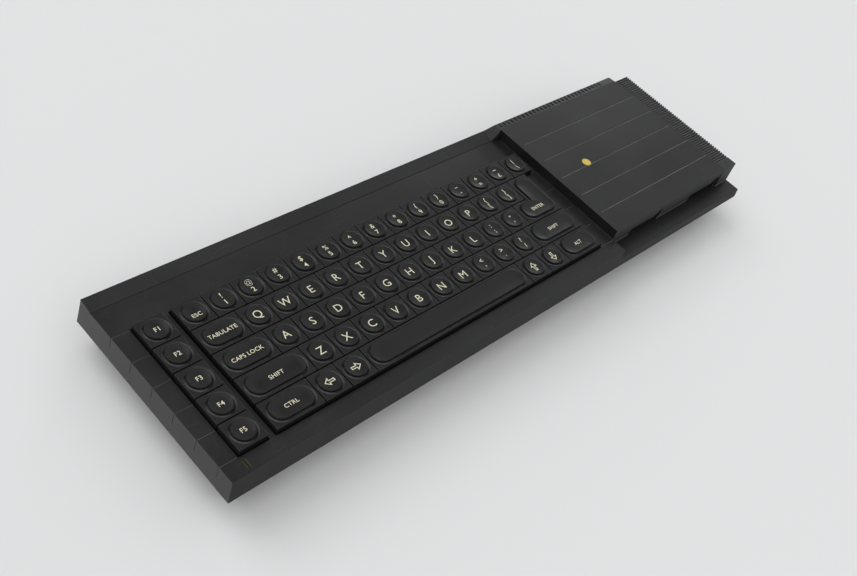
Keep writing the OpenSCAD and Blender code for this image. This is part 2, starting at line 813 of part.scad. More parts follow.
// A key: bases are [x0, x1, y0, y1] boxes, runs are the platform's [a, b], stems are points
module key(bases, runs, stems, flat = false) {
    cavity_z = key_base_z - bowl_depth - 1.3;
    color(key_black) difference() {
        union() {
            difference() {
                for (b = bases) span([b[0], b[2], skirt_z], [b[1], b[3], key_base_z]);
                for (r = runs) bowl_run(r[0], r[1]);
                for (b = bases) span([b[0] + skirt_t, b[2] + skirt_t, skirt_z - 1],
                                     [b[1] - skirt_t, b[3] - skirt_t, cavity_z]);
            }
            for (r = runs) platform_run(r[0], r[1]);
            for (s = stems) post(s, stem_z, cavity_z + eps, stem_d);
        }
        if (!flat) for (r = runs) dish_run(r[0], r[1]);
    }
}

function cell(x, y, w) = [x - w * pitch / 2 + key_gap / 2, x + w * pitch / 2 - key_gap / 2,
                          y - pitch / 2 + key_gap / 2, y + pitch / 2 - key_gap / 2];
function run_of(x, y, w) = [[x - (w - 1) * pitch / 2, y], [x + (w - 1) * pitch / 2, y]];

// A key of one row by its place in ROWS
module row_key(row, i) place() {
    x = key_x(row, i);
    y = row_y(row);
    w = ROWS[row][i];
    key([cell(x, y, w)], [run_of(x, y, w)], [[x, y]]);
}

module function_key(row) place() {
    key([cell(fkeys_x, row_y(row), 1)], [run_of(fkeys_x, row_y(row), 1)], [[fkeys_x, row_y(row)]]);
}

module f1_key() function_key(4);
module f2_key() function_key(3);
module f3_key() function_key(2);
module f4_key() function_key(1);
module f5_key() function_key(0);
module esc_key() row_key(4, 0);
module tab_key() row_key(3, 0);
module caps_lock_key() row_key(2, 0);
module left_shift_key() row_key(1, 0);
module ctrl_key() row_key(0, 0);
module left_arrow_key() row_key(0, 1);
module right_arrow_key() row_key(0, 2);
module up_arrow_key() row_key(0, 4);
module down_arrow_key() row_key(0, 5);
module alt_key() row_key(0, 6);
module right_shift_key() row_key(1, 11);
module number_row_keys() for (i = [1:14]) row_key(4, i);
module upper_row_keys() for (i = [1:12]) row_key(3, i);
module home_row_keys() for (i = [1:11]) row_key(2, i);
module lower_row_keys() for (i = [1:10]) row_key(1, i);

module space_bar() place() {
    x = key_x(0, 3);
    y = row_y(0);
    key([cell(x, y, ROWS[0][3])], [run_of(x, y, ROWS[0][3])], concat([[x, y]], SPACE_GUIDES));
}

// The enter key spans two rows: its lower part is the wider one
module enter_key() place() {
    low = len(ROWS[enter_row]) - 1;
    top = len(ROWS[enter_upper_row]) - 1;
    xl = key_x(enter_row, low);
    xt = key_x(enter_upper_row, top);
    yl = row_y(enter_row);
    yt = row_y(enter_upper_row);
    c_top = cell(xt, yt, ROWS[enter_upper_row][top]);
    key([cell(xl, yl, ROWS[enter_row][low]), [c_top[0], c_top[1], yl, c_top[3]]],
        [run_of(xl, yl, ROWS[enter_row][low]), [[xt, yl], [xt, yt]]],
        [[xl, yl]]);
}

// ----------------------------------------------------------- board and parts

module main_board() color(board_green) place() {
    difference() {
        span([board_x, board_y, board_z], [board_end, tray_rear_in - 0.3, board_top]);
        for (p = CASE_POSTS) post(p, 0, far, tube_d + 1);
        for (p = BOARD_SCREWS) post(p, 0, far, shank_hole_d);
    }
    // sockets for the keyboard's tails
    for (x = TAIL_X) difference() {
        span([x - tail_w / 2 - 2, tail_y - 2, board_top - eps],
             [x + tail_w / 2 + 2, tail_y + 3, board_top + tail_socket_h]);
        span([x - tail_w / 2 - 0.2, tail_y - 0.2, board_top + 1.8],
             [x + tail_w / 2 + 0.2, tail_y + tail_t + 0.2, far]);
    }
}

// Puts a drawing made from the board's front left corner onto the board
module on_board() {
    place() translate([board_x, board_y, board_top]) children();
}

// A chip in a two-row package, size = [length, width], centred at at, turned by a
chip_gap = 0.8;
chip_h = 3.4;
leg_h = 2.2;
leg_t = 0.4;
module chip(at, size, a = 0) {
    l = size[0];
    w = size[1];
    translate([at[0], at[1], 0]) rotate([0, 0, a]) {
        difference() {
            translate([-l / 2, -w / 2, chip_gap]) cube([l, w, chip_h]);
            translate([-l / 2, 0, chip_gap + chip_h]) cylinder(h = 1.6, r = 1.2, center = true);
        }
        for (s = [-1, 1]) translate([-l / 2 + 1, s * (w / 2 + leg_t / 2) - leg_t / 2 - s * eps, 0])
            cube([l - 2, leg_t, leg_h]);
    }
}

// Places on the board, from its front left corner
processor_at = [132, 40];
processor_size = [61, 14];
CUSTOM_AT = [[222, 30], [222, 55], [132, 65]];
custom_size = [52, 14];
memory_at = [26, 18];
memory_step = [10, 24];
memory_size = [19, 6.5];
CAPACITORS_AT = [[292, 60], [292, 76], [178, 40], [178, 60]];
capacitor_d = 8;
capacitor_h = 10;
sounder_at = [272, 40];
sounder_d = 22;
sounder_h = 6;

module processor() color(chip_black) on_board() chip(processor_at, processor_size);
module custom_chips() color(chip_black) on_board() {
    for (p = CUSTOM_AT) chip(p, custom_size);
}
module memory_chips() color(chip_black) on_board() {
    for (i = [0:7], j = [0, 1])
        chip([memory_at[0] + i * memory_step[0], memory_at[1] + j * memory_step[1]], memory_size, 90);
}
module capacitors() color([0.15, 0.2, 0.45]) on_board() {
    for (p = CAPACITORS_AT) post(p, 0, capacitor_h, capacitor_d);
}
module sounder() color(chip_black) on_board() difference() {
    post(sounder_at, 0, sounder_h, sounder_d);
    post(sounder_at, sounder_h - 1, sounder_h + 1, 4);
}

// Heat sink inside the block, with the regulator against its front
heat_t = 2;
fin_d = 10;
fin_t = 1.2;
fin_pitch = 8;
heat_rear_gap = 4;
heat_y = tray_rear_in - heat_t - fin_d - heat_rear_gap;
HEAT_X = [block_x + 16, block_x + 110];
module heat_sink() color(steel) place() {
    span([HEAT_X[0], heat_y, board_top], [HEAT_X[1], heat_y + heat_t, deck_z + 1]);
    for (x = [HEAT_X[0]:fin_pitch:HEAT_X[1] - fin_t])
        span([x, heat_y + heat_t - eps, board_top + 4], [x + fin_t, heat_y + heat_t + fin_d, deck_z]);
}

regulator_size = [10, 4.5, 15];
regulator_z = board_top + 4;
pin_pitch = 2.5;
pin_w = 0.8;
pin_t = 0.6;
module regulator() color(chip_black) place() {
    x = (HEAT_X[0] + HEAT_X[1]) / 2;
    translate([x - regulator_size[0] / 2, heat_y - regulator_size[1], regulator_z]) cube(regulator_size);
    for (i = [-1, 0, 1])
        translate([x + i * pin_pitch - pin_w / 2, heat_y - regulator_size[1] / 2, board_top])
            cube([pin_w, pin_t, regulator_z - board_top + eps]);
}

// ------------------------------------------------------------- rear sockets

module rear_body(x, w) {
    span([x - w / 2, tray_rear - socket_depth, board_top], [x + w / 2, tray_rear, board_top + socket_h]);
}

serial_mouth = [10, 7, 9];
keyway_w = 3;
keyway_h = 1.2;
module serial_sockets() color(chip_black) place() {
    for (x = SERIAL_X) difference() {
        rear_body(x, serial_w);
        translate([x - serial_mouth[0] / 2, tray_rear - serial_mouth[2], socket_z - serial_mouth[1] / 2])
            cube([serial_mouth[0], far, serial_mouth[1]]);
        // keyway for the plug's latch
        span([x - keyway_w / 2, tray_rear - serial_mouth[2], socket_z],
             [x + keyway_w / 2, far, socket_z + serial_mouth[1] / 2 + keyway_h]);
    }
}

power_mouth = [12.6, 7.4, 8];
power_pin_pitch = 4;
power_pin_d = 1.5;
module power_inlet() color(chip_black) place() {
    difference() {
        rear_body(power_x, power_w);
        translate([power_x - power_mouth[0] / 2, tray_rear - power_mouth[2], socket_z - power_mouth[1] / 2])
            cube([power_mouth[0], far, power_mouth[1]]);
    }
    for (i = [-1, 0, 1])
        translate([power_x + i * power_pin_pitch, tray_rear - power_mouth[2] - 1, socket_z])
            rotate([-90, 0, 0]) cylinder(h = power_mouth[2] - 0.5, d = power_pin_d);
}

// Body of a socket that stands inside the rear wall
wall_gap = 0.3;
module inner_body(x, w, depth, h) {
    span([x - w / 2, tray_rear_in - depth, board_top], [x + w / 2, tray_rear_in - wall_gap, board_top + h]);
}

module network_jacks() color(chip_black) place() {
    for (x = NETWORK_X) difference() {
        union() {
            inner_body(x, 9, 14, socket_h);
            translate([x, tray_rear_in - 1, socket_z]) rotate([-90, 0, 0])
                cylinder(h = tray_rear + 1.2 - tray_rear_in + 1, d = jack_collar_d);
        }
        translate([x, tray_rear_in - 9, socket_z]) rotate([-90, 0, 0]) cylinder(h = 40, d = jack_d);
    }
}

monitor_pins = 8;
pin_hole_d = 1.1;
pin_circle_r = 3.1;
module monitor_socket() color(chip_black) place() {
    difference() {
        union() {
            inner_body(monitor_x, 18, 12, socket_h);
            translate([monitor_x, tray_rear_in - 1, socket_z]) rotate([-90, 0, 0])
                cylinder(h = tray_rear - tray_rear_in + 1, d = monitor_d);
        }
        translate([monitor_x, tray_rear + eps, socket_z]) rotate([90, 0, 0]) {
            difference() {
                cylinder(h = 5, d = monitor_d - 1);
                translate([0, 0, -1]) cylinder(h = 7, d = monitor_d - 2.4);
            }
            for (i = [0:monitor_pins - 2]) rotate([0, 0, -60 + i * 300 / (monitor_pins - 2) - 90])
                translate([pin_circle_r, 0, 0]) cylinder(h = 6, d = pin_hole_d);
            cylinder(h = 6, d = pin_hole_d);
        }
    }
}

module aerial_modulator() color(steel) place() {
    union() {
        inner_body(aerial_x, 36, 22, 12.4);
        difference() {
            translate([aerial_x, tray_rear_in - 1, socket_z]) rotate([-90, 0, 0])
                cylinder(h = deck_d + wall_flare + socket_stand - tray_rear_in + 1, d = phono_d);
            translate([aerial_x, tray_rear_in + 1, socket_z]) rotate([-90, 0, 0]) cylinder(h = 40, d = 3.2);
        }
    }
}

module rom_connector() color([0.2, 0.3, 0.25]) place() difference() {
    span([rom_x - rom_w / 2, tray_rear_in - 14, board_top],
         [rom_x + rom_w / 2, tray_rear_in - 2, board_top + 10]);
    span([rom_x - rom_w / 2 + 3, tray_rear_in - 9, board_top + 4.2],
         [rom_x + rom_w / 2 - 3, far, board_top + 6.2]);
}

module expansion_connector() color([0.2, 0.3, 0.25]) place() difference() {
    span([board_x + 1, line_y(0) + 12, board_top], [board_x + 11, line_y(row_count) - 2, board_top + 10]);
    span([-far, line_y(0) + 14, board_top + 2], [board_x + 8, line_y(row_count) - 4, board_top + 8]);
}

// -------------------------------------------------- lamps, button and sticker

reset_end = deck_w + 0.6;
reset_flange_x = deck_w - wall_t - 0.3;
module reset_button() color([0.16, 0.16, 0.17]) place() {
    translate([0, reset_y, reset_z]) rotate([0, 90, 0]) {
        translate([0, 0, reset_flange_x - 1.5]) cylinder(h = reset_end - reset_flange_x + 1.5, d = reset_d);
        translate([0, 0, reset_flange_x - 1.5]) cylinder(h = 1.5, d = reset_d + 2.4);
        translate([0, 0, reset_stem_x]) cylinder(h = reset_flange_x - 1 - reset_stem_x, d = 4);
    }
}
reset_switch_x = deck_w - 23;
reset_switch_w = 6;
reset_stem_x = reset_switch_x + reset_switch_w + reset_travel + 0.3;
module reset_switch() color(chip_black) place() difference() {
    span([reset_switch_x, reset_y - 4, board_top],
         [reset_switch_x + reset_switch_w, reset_y + 4, reset_z + 4]);
    span([0, reset_y - 2.5, board_top + 4], [far, reset_y + 2.5, reset_z - 5]);
}

module power_lamp() color([0.45, 0.42, 0.12]) place() {
    g = 0.1;
    span([lamp_at[0] - lamp_slot[0] / 2 + g, lamp_at[1] - lamp_slot[1] / 2 + g, deck_z - deck_t],
         [lamp_at[0] + lamp_slot[0] / 2 - g, lamp_at[1] + lamp_slot[1] / 2 - g, deck_z]);
    span([lamp_at[0] - lamp_slot[0] / 2 - 0.8, lamp_at[1] - lamp_slot[1] / 2 + 0.6, deck_z - deck_t - 1.2],
         [lamp_at[0] + lamp_slot[0] / 2 + 0.8, lamp_at[1] + lamp_slot[1] / 2, deck_z - deck_t]);
}

module yellow_sticker() color([0.8, 0.68, 0.2]) place() {
    translate([sticker_at[0], sticker_at[1], top_z - sticker_t])
        cylinder(h = sticker_t, d = sticker_d - 0.04);
}

// ----------------------------------------------------------- cartridge drives

function drive_x(i) = slot_x + i * drive_pitch;

// Floor plate with a channel for the cartridge and holes for the motor and the screws
module drive_frame(i) color([0.3, 0.3, 0.31]) place() {
    x0 = drive_x(i);
    x1 = x0 + slot_w;
    rail_top = drive_floor_top + rail_h + rail_lip_t;
    rail_end = drive_front + cartridge_depth;
    inner = [x0 - rail_clear, x1 + rail_clear];
    difference() {
        union() {
            span([x0 - drive_margin, drive_front, drive_floor_z],
                 [x1 + drive_margin, drive_front + drive_l, drive_floor_top]);
            for (s = [0, 1]) {
                xa = s == 0 ? inner[0] - rail_t : inner[1];
                xf = s == 0 ? inner[0] - rail_t : inner[1] - 2;
                span([xa, drive_front, drive_floor_top - eps], [xa + rail_t, rail_end, rail_top]);
                span([xf, drive_front, rail_top - rail_lip_t], [xf + rail_t + 2, rail_end, rail_top]);
            }
            // seat for the lamp
            span([inner[1] - notch_w, drive_front, rail_top - rail_lip_t],
                 [inner[1] + rail_t, drive_front + lamp_l + 1, rail_top]);
            // stop behind the cartridge, open in the middle for the head and the roller
            for (x = [inner[0] - rail_t, inner[1] - 4])
                span([x, rail_end - eps, drive_floor_top - eps], [x + rail_t + 4, rail_end + 2, rail_top]);
        }
        post([x0 + capstan_x, capstan_y], 0, far, 7);
        for (y = DRIVE_POSTS, x = DRIVE_POST_X) post([x0 + x, y], 0, far, shank_hole_d);
    }
}
module drive_frame_1() drive_frame(0);
module drive_frame_2() drive_frame(1);

module drive_motors() color(steel) place() {
    for (i = [0, 1]) difference() {
        union() {
            post([drive_x(i) + capstan_x, capstan_y], drive_floor_z - motor_h, drive_floor_z, motor_d);
            post([drive_x(i) + capstan_x, capstan_y], drive_floor_z - eps, drive_floor_top - 0.2, 6);
        }
        post([drive_x(i) + capstan_x, capstan_y], drive_floor_z - motor_h + 2, far,
             shaft_d + 2 * shaft_clear);
    }
}

// Roller and its shaft, which turn together
module capstan(i) color([0.2, 0.2, 0.2]) place() {
    c = [drive_x(i) + capstan_x, capstan_y];
    z0 = drive_floor_top + 0.6;
    post(c, drive_floor_z - motor_h + 2.3, z0 + 6.6, shaft_d);
    post(c, z0, z0 + 5.4, capstan_d);
    post(c, drive_floor_top, z0 + eps, 4);
}
module capstan_1() capstan(0);
module capstan_2() capstan(1);

module drive_heads() color(steel) place() {
    for (i = [0, 1]) {
        x = drive_x(i) + 9;
        y = drive_front + cartridge_depth + 1;
        difference() {
            span([x - 4, y, drive_floor_top], [x + 4, y + 9, drive_floor_top + 6]);
            span([x - 5, y - 1, drive_floor_top + 4.4], [x - 2.6, y + 10, drive_floor_top + 7]);
        }
    }
}

module drive_lamps() color([0.35, 0.05, 0.05]) place() {
    for (i = [0, 1]) {
        x = drive_x(i) + slot_w - notch_w / 4 - 0.6;
        z = drive_floor_top + rail_h + rail_lip_t + lamp_d / 2;
        translate([x, drive_front + 0.2, z]) rotate([-90, 0, 0]) cylinder(h = lamp_l, d = lamp_d);
    }
}

upper_case();
lower_case();
left_cover();
right_cover();
rom_cover();
rubber_feet();
screws();
keyboard_frame();
rubber_mat();
membrane();
keyboard_backplate();
keyboard_tails();
main_board();
processor();
custom_chips();
memory_chips();
capacitors();
regulator();
heat_sink();
sounder();
network_jacks();
power_inlet();
monitor_socket();
aerial_modulator();
serial_sockets();
rom_connector();
expansion_connector();
reset_button();
reset_switch();
power_lamp();
drive_frame_1();
drive_frame_2();
drive_motors();
capstan_1();
capstan_2();
drive_heads();
drive_lamps();
yellow_sticker();
f1_key();
f2_key();
f3_key();
f4_key();
f5_key();
esc_key();
tab_key();
caps_lock_key();
left_shift_key();
ctrl_key();
left_arrow_key();
right_arrow_key();
space_bar();
up_arrow_key();
down_arrow_key();
alt_key();
right_shift_key();
enter_key();
number_row_keys();
upper_row_keys();
home_row_keys();
lower_row_keys();
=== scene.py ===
"""Looks of a vintage home computer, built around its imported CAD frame.

Everything is in metres, in the part's own frame: +X right along the keyboard, +Y to the rear,
+Z up from the feet, with the origin under the middle of the part.
"""

import math

import bmesh
import bpy
from mathutils import Matrix, Vector


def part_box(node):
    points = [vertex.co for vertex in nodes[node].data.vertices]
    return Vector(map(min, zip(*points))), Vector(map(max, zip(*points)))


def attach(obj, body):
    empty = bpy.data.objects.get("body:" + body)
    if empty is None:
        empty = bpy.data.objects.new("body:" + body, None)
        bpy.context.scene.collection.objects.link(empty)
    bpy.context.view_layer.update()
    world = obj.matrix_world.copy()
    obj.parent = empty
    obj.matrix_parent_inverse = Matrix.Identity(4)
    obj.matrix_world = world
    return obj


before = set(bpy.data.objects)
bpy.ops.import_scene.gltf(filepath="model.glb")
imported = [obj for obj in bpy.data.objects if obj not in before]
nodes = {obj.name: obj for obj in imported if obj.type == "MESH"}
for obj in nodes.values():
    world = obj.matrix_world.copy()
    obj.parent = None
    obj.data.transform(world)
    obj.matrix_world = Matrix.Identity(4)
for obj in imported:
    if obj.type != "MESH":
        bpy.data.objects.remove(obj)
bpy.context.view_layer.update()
MM = 0.001

# ---------------------------------------------------------------- levels and places, from the frame

DECK_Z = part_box("power_lamp")[1].z
TOP_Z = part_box("upper_case")[1].z
PLATFORM_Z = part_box("f1_key")[1].z
BOARD_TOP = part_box("processor")[0].z
CASE_LOW, CASE_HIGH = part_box("upper_case")
# Behind this the deck rises and the block drops, with no fine lines
REAR_LINE_Y = CASE_HIGH.y - 11.5 * MM
# The case's front wall lies ahead of this, and the block's front face behind it
FRONT_WALL_Y = CASE_LOW.y + 8 * MM
# The narrow ledge in front of the raised block, and the ribbed strip on the block's right
LEDGE_Z = DECK_Z - 8.9 * MM
# Under this level a painted highlight runs along the foot of the block's front face
FOOT_HIGHLIGHT_TOP = LEDGE_Z + 0.6 * MM
STRIP_X = CASE_HIGH.x - 16 * MM
KEY_GAP = 0.8 * MM
KEY_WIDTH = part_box("left_arrow_key")[1].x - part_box("left_arrow_key")[0].x
PITCH = KEY_WIDTH + KEY_GAP
# The fine lines of the deck and of the block's top are cut between these depths under them
LINE_BOTTOM = 0.46 * MM
LINE_MOUTH = 0.1 * MM
# A key's round top, the dusty floor of the sunk ring around it, and the ring's slope that gets a
# painted highlight, as levels under the top's rim
KEY_TOP_DROP = 0.7 * MM
RING_DUST = (1.9 * MM, 1.05 * MM)
RING_SLOPE = (1.78 * MM, 0.95 * MM)

# ---------------------------------------------------------------- camera

# The camera of the photograph: where it stands and how it is turned
CAMERA_AT = (-0.44303, -0.25764, 0.48375)
CAMERA_RIGHT = (0.6888, -0.6715, 0.27319)
CAMERA_DOWN = (-0.3787, -0.65463, -0.65425)
CAMERA_FORWARD = (0.61817, 0.34719, -0.70521)
LENS_MM = 44.556
SENSOR_MM = 36.0
SHIFT = (-0.02876, 0.0129)
CLIP_NEAR, CLIP_FAR = 0.01, 20


def make_camera():
    data = bpy.data.cameras.new("camera")
    data.lens = LENS_MM
    data.sensor_width = SENSOR_MM
    data.sensor_fit = "HORIZONTAL"
    data.shift_x, data.shift_y = SHIFT
    data.clip_start, data.clip_end = CLIP_NEAR, CLIP_FAR
    camera = bpy.data.objects.new("camera", data)
    bpy.context.scene.collection.objects.link(camera)
    columns = (CAMERA_RIGHT, [-v for v in CAMERA_DOWN], [-v for v in CAMERA_FORWARD])
    turn = Matrix(columns).transposed().to_4x4()
    camera.matrix_world = Matrix.Translation(CAMERA_AT) @ turn
    bpy.context.scene.camera = camera


# ---------------------------------------------------------------- objects


def new_object(name, mesh, material, body=None):
    """A mesh object of one material, which rides on a body if one is given."""
    obj = bpy.data.objects.new(name, mesh)
    bpy.context.scene.collection.objects.link(obj)
    mesh.materials.append(material)
    if body:
        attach(obj, body)
    return obj


def mesh_from(name, verts, faces):
    mesh = bpy.data.meshes.new(name)
    mesh.from_pydata(verts, [], faces)
    mesh.update()
    return mesh


# ---------------------------------------------------------------- node helpers

MAP_SOCKETS = ("From Min", "From Max", "To Min", "To Max")
BEVEL_SAMPLES = 6
# Inputs and outputs of a Mix node that belong to colours
MIX_A, MIX_B, MIX_RESULT = 6, 7, 2


class Nodes:
    """A short hand for building one material's node tree."""

    def __init__(self, name):
        self.material = bpy.data.materials.new(name)
        self.material.use_nodes = True
        self.tree = self.material.node_tree
        self.shader = self.tree.nodes["Principled BSDF"]
        self.coords = self.tree.nodes.new("ShaderNodeTexCoord").outputs["Object"]

    def node(self, kind, **settings):
        made = self.tree.nodes.new("ShaderNode" + kind)
        for key, value in settings.items():
            setattr(made, key, value)
        return made

    def link(self, source, target):
        self.tree.links.new(source, target)

    def put(self, value, socket):
        if hasattr(value, "is_linked"):
            self.link(value, socket)
        else:
            socket.default_value = value

    def set(self, **values):
        for key, value in values.items():
            self.put(value, self.shader.inputs[key.replace("_", " ")])

    def noise(self, per_metre, detail=2.0, roughness=0.5, stretch=(1, 1, 1), turn=0.0):
        mapping = self.node("Mapping")
        mapping.inputs["Scale"].default_value = stretch
        mapping.inputs["Rotation"].default_value = (0, 0, turn)
        self.link(self.coords, mapping.inputs["Vector"])
        noise = self.node("TexNoise")
        self.link(mapping.outputs["Vector"], noise.inputs["Vector"])
        noise.inputs["Scale"].default_value = per_metre
        noise.inputs["Detail"].default_value = detail
        noise.inputs["Roughness"].default_value = roughness
        return noise.outputs["Fac"]

    def cells(self, per_metre, randomness=1.0):
        voronoi = self.node("TexVoronoi")
        self.link(self.coords, voronoi.inputs["Vector"])
        voronoi.inputs["Scale"].default_value = per_metre
        voronoi.inputs["Randomness"].default_value = randomness
        return voronoi.outputs["Distance"]

    def ramp(self, value, low, high, out_low=0.0, out_high=1.0):
        mapped = self.node("MapRange")
        mapped.clamp = True
        self.put(value, mapped.inputs["Value"])
        for socket, number in zip(MAP_SOCKETS, (low, high, out_low, out_high)):
            mapped.inputs[socket].default_value = number
        return mapped.outputs["Result"]

    def math(self, operation, a, b=0.0):
        made = self.node("Math", operation=operation)
        self.put(a, made.inputs[0])
        self.put(b, made.inputs[1])
        return made.outputs[0]

    def times(self, a, b):
        return self.math("MULTIPLY", a, b)

    def plus(self, a, b):
        return self.math("ADD", a, b)

    def mix(self, factor, a, b):
        made = self.node("Mix", data_type="RGBA")
        self.put(factor, made.inputs[0])
        self.put(a, made.inputs[MIX_A])
        self.put(b, made.inputs[MIX_B])
        return made.outputs[MIX_RESULT]

    def bump(self, height, strength, distance_mm, normal=None):
        made = self.node("Bump")
        made.inputs["Strength"].default_value = strength
        made.inputs["Distance"].default_value = distance_mm * MM
        self.link(height, made.inputs["Height"])
        if normal is not None:
            self.link(normal, made.inputs["Normal"])
        return made.outputs["Normal"]

    def rounded(self, radius_mm):
        made = self.node("Bevel", samples=BEVEL_SAMPLES)
        made.inputs["Radius"].default_value = radius_mm * MM
        return made.outputs["Normal"]

    def normal_along(self, direction):
        """How far the face's own normal points along a direction, from -1 to 1."""
        dot = self.node("VectorMath", operation="DOT_PRODUCT")
        self.link(self.node("NewGeometry").outputs["Normal"], dot.inputs[0])
        self.put(direction, dot.inputs[1])
        return dot.outputs["Value"]

    def edge(self, rounded):
        """0 on flat faces, rising towards 1 where the rounded normal leans away on an edge."""
        return self.ramp(self.normal_along(rounded), 0.99, 0.8)

    def axis(self, which, source=None):
        split = self.node("SeparateXYZ")
        self.link(source or self.coords, split.inputs[0])
        return split.outputs[which]

    def facing_up(self):
        normal = self.node("NewGeometry").outputs["Normal"]
        return self.ramp(self.axis("Z", normal), 0.55, 0.95)

    def facing_front(self):
        normal = self.node("NewGeometry").outputs["Normal"]
        return self.ramp(self.axis("Y", normal), -0.7, -0.9)

    def turned_to(self, direction):
        """Rises from 0 to 1 as a steep face leans towards a level direction."""
        return self.ramp(self.normal_along(direction), 0.16, 0.4)

    def between(self, value, low, high):
        above = self.math("GREATER_THAN", value, low)
        below = self.math("LESS_THAN", value, high)
        return self.times(above, below)


def grey(value, tint=0.0):
    return (value, value, value * (1 + tint), 1)


# ---------------------------------------------------------------- materials

DUST = grey(0.2)
SCRATCH = grey(0.16)
WORN_EDGE = grey(0.09)
# Painted light: the block's front face is painted paler, as if lit from the front
BLOCK_FACE_PAINTED_LIGHT = grey(0.034)
# A painted highlight at the foot of the block's front face
FOOT_HIGHLIGHT = grey(0.25)
RIB_STRIP_PALE = grey(0.035)


def dust_film(n, up, dust):
    """Specks and faint patches of dust on the faces that look up."""
    specks = n.times(n.ramp(n.cells(420), 0.13, 0.04), n.ramp(n.noise(90, 2), 0.5, 0.68))
    patches = n.ramp(n.noise(11, 2), 0.45, 0.7)
    film = n.times(n.plus(n.times(specks, 0.9), n.times(patches, 0.05)), up)
    return n.times(film, dust)


def fine_scratches(n):
    """Thin scratches in two directions."""
    one_way = n.ramp(n.noise(60, 1, 0.4, stretch=(1, 38, 1), turn=0.5), 0.69, 0.74)
    other_way = n.ramp(n.noise(48, 1, 0.4, stretch=(34, 1, 1), turn=0.16), 0.7, 0.75)
    return n.math("MAXIMUM", one_way, other_way)


def case_marks(n, colour, up, front, lines):
    """What only the upper case shows: paler fine lines, partly dust and partly a painted highlight of
    their edges, painted light over the block's front face, a painted highlight at that face's foot
    and the ribbed strip painted paler, unevenly."""
    ahead = n.times(n.math("LESS_THAN", n.axis("Y"), REAR_LINE_Y), up)
    patchy = n.times(ahead, n.ramp(n.noise(70, 3), 0.3, 0.6, 0.5, 1.0))
    z = n.axis("Z")
    # Paler in the fine lines: partly dust, partly a painted highlight of the grooves' edges
    for level, paleness in lines:
        in_line = n.between(z, level - LINE_BOTTOM, level - LINE_MOUTH)
        colour = n.mix(n.times(in_line, patchy), colour, grey(paleness))
    # Painted light over the block's front face, standing in for the light that falls on it
    block_face = n.times(front, n.math("GREATER_THAN", n.axis("Y"), FRONT_WALL_Y))
    colour = n.mix(n.times(block_face, 0.8), colour, BLOCK_FACE_PAINTED_LIGHT)
    # A painted highlight along the foot of the block's front face
    foot = n.math("LESS_THAN", z, FOOT_HIGHLIGHT_TOP)
    colour = n.mix(n.times(foot, block_face), colour, FOOT_HIGHLIGHT)
    # The ribbed strip is painted paler, unevenly
    ribs = n.times(n.math("GREATER_THAN", n.axis("X"), STRIP_X), n.math("GREATER_THAN", z, DECK_Z))
    uneven = n.ramp(n.noise(240, 2), 0.3, 0.7, 0.2, 0.8)
    return n.mix(n.times(ribs, uneven), colour, RIB_STRIP_PALE)


def moulded_plastic(name, base, rough, grain_mm=0.35, dust=0.5, edge_mm=0.35, wear=0.5, lines=()):
    """Textured black plastic: fine grain, smudges, dust on the faces that look up, paler worn edges.

    Each of lines is a level and the paleness of the fine lines cut just under it, which is partly
    dust and partly a painted highlight of the grooves' edges."""
    n = Nodes(name)
    rounded = n.rounded(edge_mm)
    grain = n.noise(1000 / grain_mm, 1.5)
    smudge = n.noise(22, 4, 0.6)
    up = n.facing_up()
    front = n.facing_front()
    darker, paler = grey(base * 0.85, 0.04), grey(base * 1.25, 0.03)
    colour = n.mix(n.ramp(smudge, 0.3, 0.75), darker, paler)
    film = dust_film(n, up, dust)
    colour = n.mix(film, colour, DUST)
    colour = n.mix(n.times(n.times(fine_scratches(n), up), 0.16 * dust), colour, SCRATCH)
    if wear:
        pale_mark = n.times(n.edge(rounded), n.ramp(n.noise(35, 3), 0.35, 0.7, 0.4, 1.0))
        colour = n.mix(n.times(pale_mark, wear), colour, WORN_EDGE)
    if lines:
        colour = case_marks(n, colour, up, front, lines)
    roughness = n.ramp(smudge, 0.2, 0.8, rough - 0.05, rough + 0.07)
    roughness = n.plus(roughness, n.times(front, 0.4))
    roughness = n.plus(roughness, n.times(film, 0.3))
    height = n.plus(grain, n.times(n.noise(7, 2), 0.4))
    n.set(Base_Color=colour, Roughness=roughness, Normal=n.bump(height, 0.16, 0.05, rounded))
    n.shader.inputs["Specular IOR Level"].default_value = 0.42
    return n.material


KEY_EDGE_MM = 0.35
KEY_SPECK = grey(0.22)
# Pale key edges: partly wear, partly a painted highlight
KEY_EDGE_WEAR_AND_HIGHLIGHT = grey(0.06)
# The slope of the ring gets a painted highlight on the side that looks this way
RING_HIGHLIGHT_SIDE = (0.84, 0.54, 0)
RING_SLOPE_HIGHLIGHT = grey(0.11)


